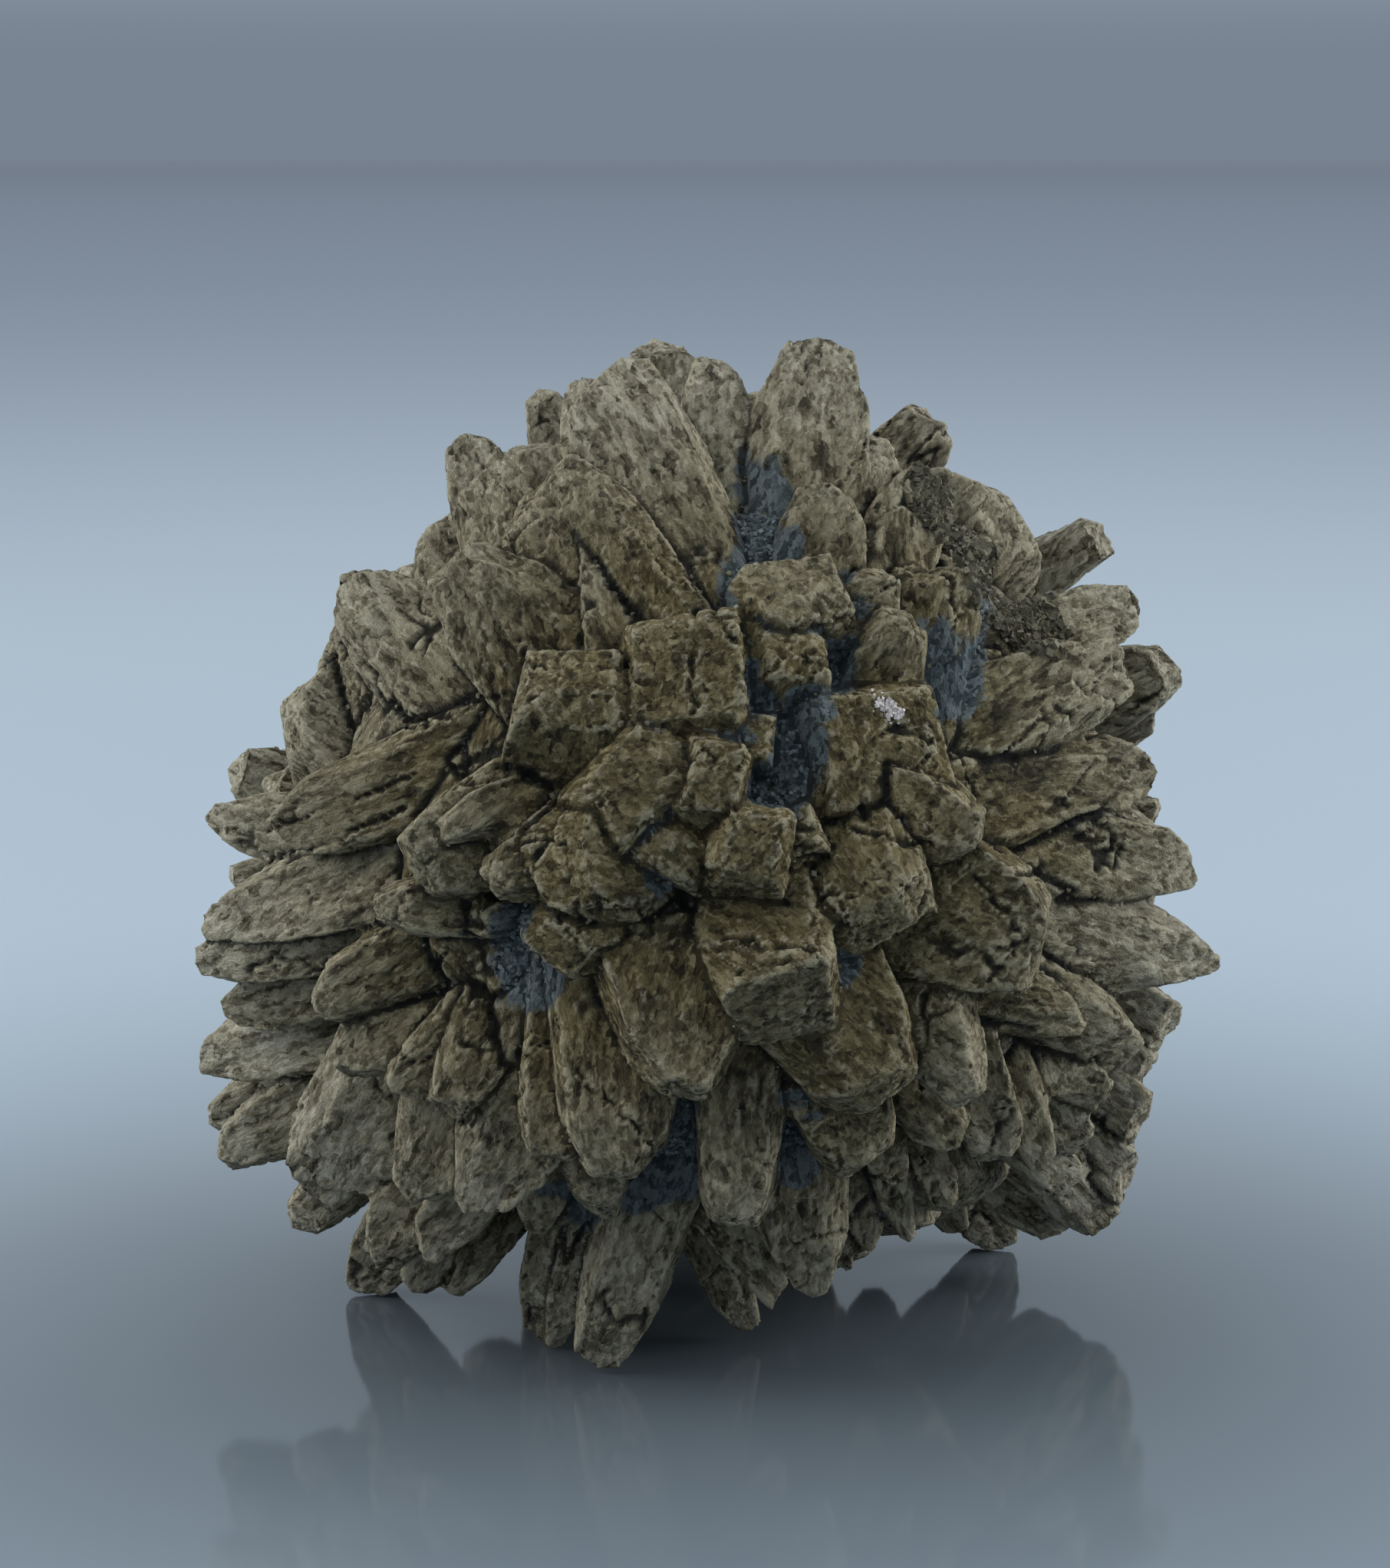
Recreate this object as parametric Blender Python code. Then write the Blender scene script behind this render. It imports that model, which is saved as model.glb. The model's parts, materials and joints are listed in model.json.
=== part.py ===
"""A calcite "pineapple": a ball of blunt, flat-faced crystals that grew outwards from one middle.

The crystals grew together, so the whole ball is one solid. Each crystal is a block whose sides, shoulders and end
are cut off by planes, and all of them are joined to a rounded core. The ball stands on the worn ends of its lowest
crystals. Lengths in the tables are millimetres, and the solid is built in metres, +Z up, with the front at -Y.
"""

import math
import random

import bmesh
import bpy
from mathutils import Matrix, Vector

MM = 0.001
NODE_NAME = "crystal_ball"

# The front view, in which the crystals' places were read
EYE_DISTANCE = 420.0
EYE_ELEVATION = math.radians(10.0)
RIGHT = Vector((1.0, 0.0, 0.0))
UP = Vector((0.0, math.sin(EYE_ELEVATION), math.cos(EYE_ELEVATION)))
TO_EYE = Vector((0.0, -math.cos(EYE_ELEVATION), math.sin(EYE_ELEVATION)))

# The ball, measured from its middle
CORE_RADIUS = 48.4
CORE_SQUASH = (0.985, 1.0, 0.965)
REST_LEVEL = -53.9
ROOT_LENGTH = 12.0
ROOT_SINK = 0.85
LEAST_SHOWN = 5.0

# How a crystal narrows, as shares of its length above the core and of its half width
END_SHARE = 0.92
SHOULDER_DEPTH = 0.34
SHOULDER_SHARE = 0.74
FOOT_SPREAD = 1.12
CORNER_CUT = (0.78, 0.92)
CORNERS_LEFT = 0.4
END_TILT = 0.32
FACE_JITTER = 0.07

# The crystals of the unseen side, spread evenly over it
BACK_DIRECTIONS = 172
BACK_FROM = 0.3
BACK_GAP = math.radians(9.0)
BACK_REACH = (53.0, 60.0)
BACK_WIDTH = (10.0, 15.5)
BACK_FLATNESS = (0.68, 0.95)
BACK_END = (0.2, 0.7)
BACK_LEAN = 5.0
BACK_CORNERS_LEFT = 0.8
BACK_SEED = 11
TIP_CLEARANCE = 1.0

# How far from the line of sight through the middle the tips of the unseen side may come, at its sides and below
BACK_OUTLINE = 52.5
BACK_OUTLINE_BELOW = 50.0

# Notches of the outline, right and up of the middle, that the crystals of the unseen side don't fill
NOTCHES = [(-37.0, 36.0), (-48.0, 20.0)]
NOTCH_SIZE = 11.0
NOTCH_OUTLINE = 49.0

# Each crystal of the front: its tip's place right and up of the middle, the tip's distance from the middle (less than
# nought behind it), its foot's place right and up, its width and thickness, the share of them left at its end, and
# its turn in degrees
FRONT = {
    "crown": [
        (-5.5, 59.8, -62.0, -3.0, 44.0, 11.0, 8.0, 0.55, 0),
        (-9.8, 56.8, 60.0, -4.0, 30.0, 18.0, 13.0, 0.30, 8),
        (-14.5, 54.6, 57.5, -9.0, 36.0, 10.0, 9.0, 0.40, -10),
        (-19.6, 53.8, -59.0, -14.0, 38.0, 8.5, 8.0, 0.40, 0),
        (-0.3, 57.2, 57.5, 4.0, 40.0, 10.5, 9.0, 0.28, 12),
        (5.5, 53.8, -57.0, 5.0, 42.0, 6.0, 6.0, 0.40, 0),
        (13.0, 59.2, 61.0, 12.0, 40.0, 14.0, 11.0, 0.50, 0),
        (26.3, 51.2, -59.0, 16.0, 39.0, 9.5, 8.0, 0.60, 0),
        (28.0, 48.2, -57.0, 18.0, 36.0, 6.5, 6.0, 0.50, 20),
        (13.5, 43.2, 53.5, 14.0, 29.0, 11.0, 9.0, 0.60, 0),
        (25.0, 44.4, 54.5, 20.0, 29.0, 10.0, 9.0, 0.55, 15),
    ],
    "upper left": [
        (-28.8, 47.8, 57.5, -22.0, 31.0, 12.0, 10.0, 0.40, 0),
        (-33.3, 36.8, -54.0, -27.0, 29.0, 6.5, 6.0, 0.40, 0),
        (-19.0, 45.4, 56.0, -10.0, 27.0, 18.5, 13.0, 0.35, -6),
        (-30.5, 34.2, 57.0, -16.0, 21.0, 15.5, 11.0, 0.50, 6),
        (-43.4, 31.4, 57.0, -29.0, 18.0, 15.5, 11.0, 0.30, -8),
        (-44.3, 22.8, -52.5, -34.0, 17.0, 5.0, 6.0, 0.30, 0),
        (-44.7, 19.8, -52.5, -33.0, 14.0, 7.0, 6.0, 0.30, 0),
        (-50.0, 16.6, -56.5, -36.0, 9.0, 9.5, 8.0, 0.30, 0),
        (-15.5, 22.0, 55.5, -16.5, 13.5, 14.5, 12.0, 0.60, -12),
        (-56.3, 9.2, -59.0, -42.0, 5.0, 9.5, 8.0, 0.50, 0),
        (-58.4, 4.4, 60.0, -42.0, 1.0, 9.0, 8.0, 0.30, 0),
    ],
    "left flank": [
        (-51.3, 1.8, 58.0, -31.0, 13.0, 11.5, 10.0, 0.30, 0),
        (-56.3, -3.8, -58.5, -42.0, -1.0, 7.0, 6.0, 0.40, 0),
        (-58.8, -9.2, 61.0, -36.0, 1.0, 12.0, 10.0, 0.25, 10),
        (-60.0, -13.0, 62.5, -42.0, -8.0, 9.5, 9.0, 0.30, 0),
        (-56.8, -19.0, 60.5, -42.0, -13.0, 8.0, 8.0, 0.30, -15),
        (-34.8, -1.0, 56.5, -19.0, 9.0, 13.0, 10.0, 0.50, 0),
        (-31.0, 3.2, 57.0, -18.0, 9.0, 6.5, 7.0, 0.40, 20),
        (-25.0, -3.0, 55.5, -17.0, 4.5, 8.5, 8.0, 0.40, 0),
        (-39.2, -5.6, 56.0, -25.0, -7.5, 7.0, 8.0, 0.40, 0),
        (-27.5, -7.5, 50.5, -24.0, -8.5, 5.0, 6.0, 0.50, 0),
        (-46.3, -18.4, 59.0, -33.0, -11.0, 9.5, 8.0, 0.15, 0),
        (-44.0, -25.4, 59.0, -31.0, -17.0, 8.5, 8.0, 0.30, 12),
        (-37.3, -28.0, 58.0, -27.0, -17.0, 7.0, 7.0, 0.30, 0),
        (-30.8, -30.2, 57.0, -26.0, -17.0, 9.0, 8.0, 0.50, 0),
    ],
    "middle": [
        (-3.0, 23.2, 54.5, -2.7, 20.0, 12.5, 13.0, 0.92, 0),
        (-9.0, 9.4, 54.2, -8.5, 7.5, 13.0, 11.0, 0.62, 15),
        (0.8, 9.6, 54.5, 0.3, 8.0, 7.0, 9.5, 0.78, 0),
        (5.5, 2.0, 55.2, 4.0, 0.0, 9.0, 9.5, 0.72, 38),
        (10.8, 2.2, 52.0, 9.5, 2.0, 6.0, 6.5, 0.80, 10),
        (-5.0, 1.0, 52.4, -4.7, 0.5, 5.5, 8.5, 0.75, 0),
        (5.6, 14.6, 51.0, 5.3, 13.5, 5.0, 6.0, 0.70, 10),
        (-17.2, -2.0, 55.2, -12.5, 0.5, 13.0, 11.5, 0.60, 0),
        (-17.5, -10.8, 54.2, -15.0, -5.0, 9.5, 9.0, 0.50, 0),
        (-2.0, -27.8, 58.2, -6.5, -9.0, 15.5, 12.0, 0.30, -8),
        (9.0, -18.0, 56.2, 6.0, -3.0, 12.5, 10.5, 0.92, 4),
        (20.0, -7.8, 54.5, 18.5, 1.0, 14.5, 11.0, 0.45, 0),
        (32.3, 3.4, 55.0, 17.0, 7.5, 11.0, 10.0, 0.35, 0),
        (20.5, 13.2, 51.2, 20.0, 12.5, 13.0, 15.0, 0.88, -25),
        (11.0, 33.0, 55.0, 10.0, 27.0, 11.5, 10.5, 0.75, 30),
        (10.0, 25.0, 53.2, 9.5, 20.5, 8.5, 8.5, 0.70, 20),
        (39.0, -10.6, 57.0, 25.0, -3.0, 15.5, 12.0, 0.60, 0),
        (43.8, -20.6, 54.5, 26.0, -13.5, 10.5, 8.0, 0.15, 10),
        (21.0, -27.0, 59.0, 11.0, -14.0, 15.5, 10.5, 0.45, -5),
        (30.0, -28.6, 60.0, 25.0, -12.0, 10.5, 9.5, 0.40, 10),
        (29.4, -35.4, 56.0, 23.0, -24.0, 8.5, 7.0, 0.10, 0),
    ],
    "right flank": [
        (29.0, 35.2, 55.0, 25.0, 20.0, 13.5, 10.0, 0.25, 0),
        (22.0, 28.8, 54.5, 22.0, 18.0, 9.0, 8.5, 0.25, 0),
        (20.0, 33.0, 52.5, 19.0, 22.0, 9.0, 8.0, 0.50, 0),
        (46.3, 37.0, -60.0, 30.0, 28.0, 7.5, 8.0, 0.80, 0),
        (49.8, 28.8, 58.0, 33.0, 22.0, 10.5, 9.5, 0.42, 0),
        (48.4, 22.0, 56.5, 27.0, 14.5, 12.5, 11.0, 0.40, 0),
        (55.0, 21.8, -60.0, 37.0, 14.0, 12.5, 10.0, 0.38, 0),
        (52.5, 14.3, -56.0, 40.0, 11.0, 6.5, 6.0, 0.30, 0),
        (52.5, 9.6, 55.5, 29.0, 6.5, 13.5, 12.0, 0.20, 0),
        (53.6, 4.4, -55.5, 40.0, 3.0, 8.5, 8.0, 0.30, 0),
        (57.0, -2.0, 58.5, 37.0, 1.5, 11.5, 10.0, 0.30, 0),
        (60.0, -13.4, 62.0, 37.0, -7.5, 13.5, 11.0, 0.08, 0),
        (54.3, -21.0, -59.0, 39.0, -15.0, 10.5, 9.0, 0.60, 0),
        (49.3, -23.4, 57.0, 35.0, -13.0, 10.5, 9.0, 0.50, 15),
    ],
    "lower left": [
        (-27.6, -42.2, 60.0, -20.0, -19.0, 12.5, 10.5, 0.42, 0),
        (-18.5, -35.4, 58.0, -16.5, -17.0, 11.5, 9.0, 0.40, 0),
        (-11.6, -37.8, 60.0, -11.0, -18.0, 14.5, 11.5, 0.30, 6),
        (-14.0, -41.8, 56.5, -13.0, -31.0, 8.0, 7.5, 0.60, 0),
        (-20.0, -44.4, 53.0, -21.0, -33.0, 7.5, 7.0, 0.40, 0),
        (-34.8, -41.2, 60.0, -30.0, -23.0, 12.5, 9.5, 0.45, 0),
        (-46.0, -39.4, 61.5, -37.0, -21.0, 14.5, 11.5, 0.50, 0),
        (-59.4, -25.2, 64.5, -42.0, -21.0, 10.5, 9.5, 0.20, 0),
        (-58.4, -32.0, -67.0, -41.0, -24.0, 9.0, 8.0, 0.35, 0),
        (-57.6, -35.8, 68.0, -40.0, -28.0, 9.5, 9.0, 0.40, 0),
        (-48.0, -44.2, 66.0, -38.0, -32.0, 9.0, 9.0, 0.50, 0),
        (-40.0, -51.9, -66.4, -33.0, -37.0, 10.0, 9.0, 0.50, 0),
        (-35.0, -52.0, 63.0, -30.0, -38.0, 8.0, 8.0, 0.40, 0),
        (-30.5, -51.6, 60.5, -22.0, -43.0, 5.5, 5.5, 0.50, 0),
        (-39.0, -49.0, 64.0, -32.0, -34.0, 9.5, 9.0, 0.40, 0),
        (-32.8, -48.0, 61.0, -26.0, -35.0, 8.5, 8.0, 0.30, 0),
        (-20.5, -56.2, 60.5, -15.5, -36.0, 8.0, 7.5, 0.30, 0),
        (-18.0, -58.0, 61.5, -11.5, -38.0, 6.5, 6.5, 0.35, 0),
        (-13.0, -59.8, 63.5, -5.0, -36.0, 10.5, 9.5, 0.55, 0),
    ],
    "lower right": [
        (3.5, -43.8, 60.0, 4.5, -22.0, 10.0, 9.5, 0.50, 0),
        (18.3, -36.2, 57.0, 12.5, -21.0, 11.5, 9.5, 0.55, 0),
        (12.0, -52.0, 60.0, 11.0, -32.0, 11.0, 9.5, 0.25, 0),
        (9.0, -52.6, 57.5, -5.0, -39.0, 6.0, 6.5, 0.50, 0),
        (5.0, -55.4, 56.0, -4.0, -42.0, 7.5, 7.0, 0.45, 0),
        (34.5, -36.3, 57.0, 31.5, -19.0, 8.0, 8.0, 0.60, 0),
        (39.2, -37.3, 58.0, 37.0, -20.0, 7.0, 7.5, 0.50, 0),
        (23.5, -45.0, 54.5, 21.0, -31.0, 6.0, 6.0, 0.40, 0),
        (28.3, -41.8, 55.0, 25.0, -30.0, 5.0, 6.0, 0.60, 0),
        (18.8, -46.0, 53.0, 16.0, -34.0, 5.5, 6.0, 0.40, 0),
        (16.0, -49.0, 54.0, 14.0, -36.0, 5.5, 6.0, 0.40, 0),
        (22.5, -38.6, 53.0, 19.0, -29.0, 6.0, 6.0, 0.40, 0),
        (52.0, -25.4, -58.5, 38.0, -21.0, 8.0, 8.0, 0.40, 0),
        (51.4, -31.6, -61.0, 37.0, -25.0, 9.5, 9.0, 0.60, 0),
        (50.0, -39.4, -64.5, 36.0, -29.0, 10.0, 9.0, 0.60, 0),
        (47.0, -43.8, -65.5, 35.0, -33.0, 9.0, 8.0, 0.50, 0),
        (41.0, -44.9, -63.0, 32.0, -34.0, 9.0, 8.0, 0.50, 0),
        (35.0, -47.4, -65.2, 27.0, -33.0, 10.0, 9.0, 0.30, 0),
        (29.5, -45.0, -58.0, 24.0, -34.0, 8.0, 7.0, 0.40, 0),
        (46.5, -28.6, 57.5, 36.0, -21.0, 7.5, 7.0, 0.60, 0),
        (44.0, -34.0, 57.5, 35.0, -25.0, 7.0, 6.5, 0.60, 0),
        (42.5, -39.0, 58.5, 33.0, -29.0, 7.0, 6.5, 0.60, 0),
    ],
}

# Rounded lumps of broken, granular crystal between the others: place right and up, distance of the top, radius
LUMPS = [
    (30.0, 38.5, 52.0, 10.0),
    (34.0, 30.0, 50.5, 9.0),
]

# A crystal on the unseen side that reaches the surface the ball stands on: right, away from the eye, width
REAR_FOOT = (-6.0, 30.0, 10.0)

STONE_COLOUR = (0.19, 0.145, 0.085, 1.0)
STONE_ROUGHNESS = 0.85


def clear_scene():
    """Removes everything that the scene holds."""
    for obj in list(bpy.data.objects):
        bpy.data.objects.remove(obj, do_unlink=True)


def seen_at(right, up, near):
    """The point that the front view shows right and up of the middle, at `near` towards the eye."""
    shrink = (EYE_DISTANCE - near) / EYE_DISTANCE
    return (RIGHT * right + UP * up) * shrink + TO_EYE * near


def tip_point(right, up, reach):
    """A tip seen at that place, at that distance from the middle; less than nought is behind it."""
    near = math.sqrt(max(reach * reach - right * right - up * up, 0.0))
    return seen_at(right, up, math.copysign(near, reach))


def foot_point(right, up, side):
    """Where a crystal is seen to leave the core; side is the sign of its tip's distance."""
    near = math.sqrt(max(CORE_RADIUS**2 - right * right - up * up, 0.0))
    return seen_at(right, up, math.copysign(near, side))


def cut(block, point, normal):
    """Cuts off what lies beyond a plane, and closes the cut with one flat face."""
    parts = block.verts[:] + block.edges[:] + block.faces[:]
    made = bmesh.ops.bisect_plane(
        block, geom=parts, dist=1e-7, plane_co=point, plane_no=normal, clear_outer=True
    )
    rim = [part for part in made["geom_cut"] if isinstance(part, bmesh.types.BMEdge)]
    if rim:
        bmesh.ops.holes_fill(block, edges=rim, sides=0)


def flank_normal(across, inner, outer):
    """The outward normal of a flank through two (half width, depth) points of the outline."""
    run = outer[1] - inner[1]
    rise = outer[0] - inner[0]
    return (across * run + Vector((0.0, 0.0, 1.0)) * rise).normalized()


def crystal_block(width, thickness, shown, end_share, corners_left, seed):
    """One crystal with its tip at the origin and its body along -Z; `shown` is how much of it stands out."""
    rng = random.Random(seed)
    length = shown + ROOT_LENGTH * MM
    block = bmesh.new()
    bmesh.ops.create_cube(block, size=1.0)
    bmesh.ops.scale(block, vec=(width * 2.0, thickness * 2.0, length), verts=block.verts)
    bmesh.ops.translate(block, vec=(0.0, 0.0, -length / 2), verts=block.verts)

    for quarter in range(4):
        angle = quarter * math.pi / 2 + rng.uniform(-FACE_JITTER, FACE_JITTER) * 1.5
        across = Vector((math.cos(angle), math.sin(angle), 0.0))
        half = (width if quarter % 2 == 0 else thickness) / 2
        shoulder = SHOULDER_DEPTH * shown * rng.uniform(0.7, 1.3)
        end = (half * END_SHARE * end_share * rng.uniform(0.8, 1.2), 0.0)
        knee_share = end_share + (1.0 - end_share) * SHOULDER_SHARE
        knee = (half * knee_share * rng.uniform(1 - FACE_JITTER, 1 + FACE_JITTER), shoulder)
        base = (half * FOOT_SPREAD, shown)
        for inner, outer in ((end, knee), (knee, base)):
            point = across * outer[0] - Vector((0.0, 0.0, outer[1]))
            cut(block, point, flank_normal(across, inner, outer))

    slope = math.atan2(width * (FOOT_SPREAD - end_share), 2.6 * shown)
    for corner in range(4):
        if rng.random() < corners_left:
            continue
        angle = (corner + 0.5) * math.pi / 2 + rng.uniform(-0.2, 0.2)
        out = Vector((math.cos(angle) * width / 2, math.sin(angle) * thickness / 2, 0.0))
        normal = Vector((math.cos(angle) * thickness, math.sin(angle) * width, 0.0)).normalized()
        normal = (normal * math.cos(slope) + Vector((0.0, 0.0, math.sin(slope)))).normalized()
        share = rng.uniform(*CORNER_CUT) * math.sqrt(2) * FOOT_SPREAD
        cut(block, out * share - Vector((0.0, 0.0, shown)), normal)

    tilt = END_TILT * rng.uniform(0.3, 1.0)
    turn = rng.uniform(0.0, 2 * math.pi)
    end_normal = Vector((math.cos(turn) * math.sin(tilt), math.sin(turn) * math.sin(tilt), math.cos(tilt)))
    cut(block, Vector((0.0, 0.0, -0.01 * shown)), end_normal)
    return block


def add_crystal(collection, tip, foot, width, thickness, end_share, turn, seed, corners_left=CORNERS_LEFT):
    """Adds one crystal, from its buried root to its tip; places and sizes are millimetres."""
    axis = (tip - foot * ROOT_SINK).normalized()
    shown = max((tip - foot).length, LEAST_SHOWN)
    block = crystal_block(width * MM, thickness * MM, shown * MM, end_share, corners_left, seed)
    across = axis.cross(TO_EYE)
    if across.length < 0.05:
        across = RIGHT - axis * RIGHT.dot(axis)
    across.normalize()
    facing = axis.cross(across)
    frame = Matrix((across, facing, axis)).transposed().to_4x4()
    frame = frame @ Matrix.Rotation(math.radians(turn), 4, "Z")
    mesh = bpy.data.meshes.new("crystal")
    bmesh.ops.transform(block, matrix=Matrix.Translation(tip * MM) @ frame, verts=block.verts)
    block.to_mesh(mesh)
    block.free()
    obj = bpy.data.objects.new(f"crystal_{seed:03d}", mesh)
    obj.hide_render = True
    obj.display_type = "WIRE"
    collection.objects.link(obj)


def add_lump(collection, right, up, reach, radius, seed):
    """Adds one rounded lump of broken crystal."""
    top = tip_point(right, up, reach)
    middle = top.normalized() * (top.length - radius)
    lump = bmesh.new()
    bmesh.ops.create_icosphere(lump, subdivisions=1, radius=radius * MM)
    rng = random.Random(seed)
    for vert in lump.verts:
        vert.co *= rng.uniform(0.88, 1.06)
    bmesh.ops.translate(lump, vec=middle * MM, verts=lump.verts)
    mesh = bpy.data.meshes.new("lump")
    lump.to_mesh(mesh)
    lump.free()
    obj = bpy.data.objects.new(f"lump_{seed:03d}", mesh)
    obj.hide_render = True
    obj.display_type = "WIRE"
    collection.objects.link(obj)


def add_front(collection):
    """Adds the crystals that were read from the front, and returns the directions of their tips."""
    directions = []
    seed = 0
    for rows in FRONT.values():
        for right, up, reach, foot_right, foot_up, width, thickness, end_share, turn in rows:
            tip = tip_point(right, up, reach)
            foot = foot_point(foot_right, foot_up, reach)
            add_crystal(collection, tip, foot, width, thickness, end_share, turn, seed)
            directions.append(tip.normalized())
            seed += 1
    return directions


def even_direction(number, total):
    """One of `total` directions spread evenly over a ball, on a spiral of equal areas."""
    height = 1.0 - 2.0 * (number + 0.5) / total
    ring = math.sqrt(1.0 - height * height)
    turn = number * math.pi * (3.0 - math.sqrt(5.0))
    return Vector((ring * math.cos(turn), ring * math.sin(turn), height))


def add_back(collection, taken):
    """Fills the side that faces away from the eye with crystals of the same kind."""
    rng = random.Random(BACK_SEED)
    seed = len(taken)
    for number in range(BACK_DIRECTIONS):
        direction = even_direction(number, BACK_DIRECTIONS)
        reach = rng.uniform(*BACK_REACH)
        width = rng.uniform(*BACK_WIDTH)
        flatness = rng.uniform(*BACK_FLATNESS)
        end_share = rng.uniform(*BACK_END)
        turn = rng.uniform(-90.0, 90.0)
        lean = Vector([rng.uniform(-BACK_LEAN, BACK_LEAN) for _ in range(3)])
        if direction.dot(TO_EYE) > BACK_FROM:
            continue
        if min(direction.angle(other) for other in taken) < BACK_GAP:
            continue
        seen = Vector((direction.dot(RIGHT), direction.dot(UP)))
        outline = BACK_OUTLINE_BELOW if direction.z < -0.5 else BACK_OUTLINE
        if any((seen * reach - Vector(notch)).length < NOTCH_SIZE for notch in NOTCHES):
            outline = NOTCH_OUTLINE
        reach = min(reach, outline / seen.length)
        tip = direction * reach
        if tip.z < REST_LEVEL + TIP_CLEARANCE:
            tip *= (REST_LEVEL + TIP_CLEARANCE) / tip.z
        foot = direction * min(CORE_RADIUS, reach - LEAST_SHOWN) + lean
        add_crystal(collection, tip, foot, width, width * flatness, end_share, turn, seed, BACK_CORNERS_LEFT)
        seed += 1
    right, away, width = REAR_FOOT
    tip = Vector((right, away, REST_LEVEL - 2.0))
    add_crystal(collection, tip, tip * 0.7, width, width * 0.9, 0.6, 0.0, seed)


def add_core():
    """The rounded core that all the crystals grow from."""
    core = bmesh.new()
    bmesh.ops.create_icosphere(core, subdivisions=2, radius=CORE_RADIUS * MM)
    bmesh.ops.scale(core, vec=CORE_SQUASH, verts=core.verts)
    mesh = bpy.data.meshes.new(NODE_NAME)
    core.to_mesh(mesh)
    core.free()
    obj = bpy.data.objects.new(NODE_NAME, mesh)
    bpy.context.scene.collection.objects.link(obj)
    return obj


def join_all(core, crystals):
    """Joins the core and all the crystals in one closed mesh, and removes the blocks."""
    union = core.modifiers.new("grown together", "BOOLEAN")
    union.operation = "UNION"
    union.operand_type = "COLLECTION"
    union.collection = crystals
    union.solver = "EXACT"
    bpy.context.view_layer.update()
    graph = bpy.context.evaluated_depsgraph_get()
    joined = bpy.data.meshes.new_from_object(core.evaluated_get(graph))
    core.modifiers.clear()
    core.data = joined
    for obj in list(crystals.objects):
        bpy.data.objects.remove(obj, do_unlink=True)
    bpy.data.collections.remove(crystals)


def keep_outer_skin(solid):
    """Keeps the largest connected skin, and so fills the sealed gaps that crystals left between them."""
    unseen = set(solid.verts)
    skins = []
    while unseen:
        skin = {unseen.pop()}
        rim = list(skin)
        while rim:
            near = {edge.other_vert(vert) for vert in rim for edge in vert.link_edges}
            rim = list(near & unseen)
            unseen -= near
            skin |= near
        skins.append(skin)
    skins.sort(key=len)
    for skin in skins[:-1]:
        bmesh.ops.delete(solid, geom=list(skin), context="VERTS")


def stand_on_tips(core):
    """Wears the lowest ends flat at the level it rests on, and puts the origin under the ball's middle."""
    mesh = core.data
    solid = bmesh.new()
    solid.from_mesh(mesh)
    bmesh.ops.remove_doubles(solid, verts=solid.verts, dist=0.00002)
    cut(solid, Vector((0.0, 0.0, REST_LEVEL * MM)), Vector((0.0, 0.0, -1.0)))
    keep_outer_skin(solid)
    bmesh.ops.triangulate(solid, faces=solid.faces)
    low = Vector([min(vert.co[axis] for vert in solid.verts) for axis in range(3)])
    high = Vector([max(vert.co[axis] for vert in solid.verts) for axis in range(3)])
    middle = (low + high) / 2
    bmesh.ops.translate(solid, vec=(-middle.x, -middle.y, -low.z), verts=solid.verts)
    bmesh.ops.recalc_face_normals(solid, faces=solid.faces)
    solid.to_mesh(mesh)
    solid.free()
    print("middle of the ball in the part's frame, mm:", [round(c / MM, 2) for c in -middle], round(-low.z / MM, 2))


def add_material(obj):
    """The dull tan-brown of weathered calcite."""
    material = bpy.data.materials.new("weathered_calcite")
    material.use_nodes = True
    shader = material.node_tree.nodes["Principled BSDF"]
    shader.inputs["Base Color"].default_value = STONE_COLOUR
    shader.inputs["Roughness"].default_value = STONE_ROUGHNESS
    shader.inputs["Metallic"].default_value = 0.0
    obj.data.materials.clear()
    obj.data.materials.append(material)


def main():
    clear_scene()
    crystals = bpy.data.collections.new("crystals")
    bpy.context.scene.collection.children.link(crystals)
    taken = add_front(crystals)
    for number, lump in enumerate(LUMPS):
        add_lump(crystals, *lump, seed=number)
    add_back(crystals, taken)
    core = add_core()
    join_all(core, crystals)
    stand_on_tips(core)
    add_material(core)
    ball = bpy.data.collections.new("pineapple_calcite")
    bpy.context.scene.collection.children.link(ball)
    ball.objects.link(core)
    bpy.context.scene.collection.objects.unlink(core)


main()
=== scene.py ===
# %% [markdown]
# # A ball of pineapple calcite
#
# The real thing is one fist-sized ball of blunt, tan-brown crystals that grew outwards together. Its
# faces are mottled, pitted and cracked, and a blue-grey, sugary filling lies in the clefts. The packed
# solid already has every crystal in its place, with flat faces, so this lesson wears that solid down into
# stone and never moves a crystal. The scene that Blender starts with is emptied first, so that nothing
# but the ball is left to render.

# %% The solid, as packed
import json
import math

import bmesh
import bpy
import numpy as np
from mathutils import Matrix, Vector
from mathutils.bvhtree import BVHTree
from mathutils.kdtree import KDTree

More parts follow.
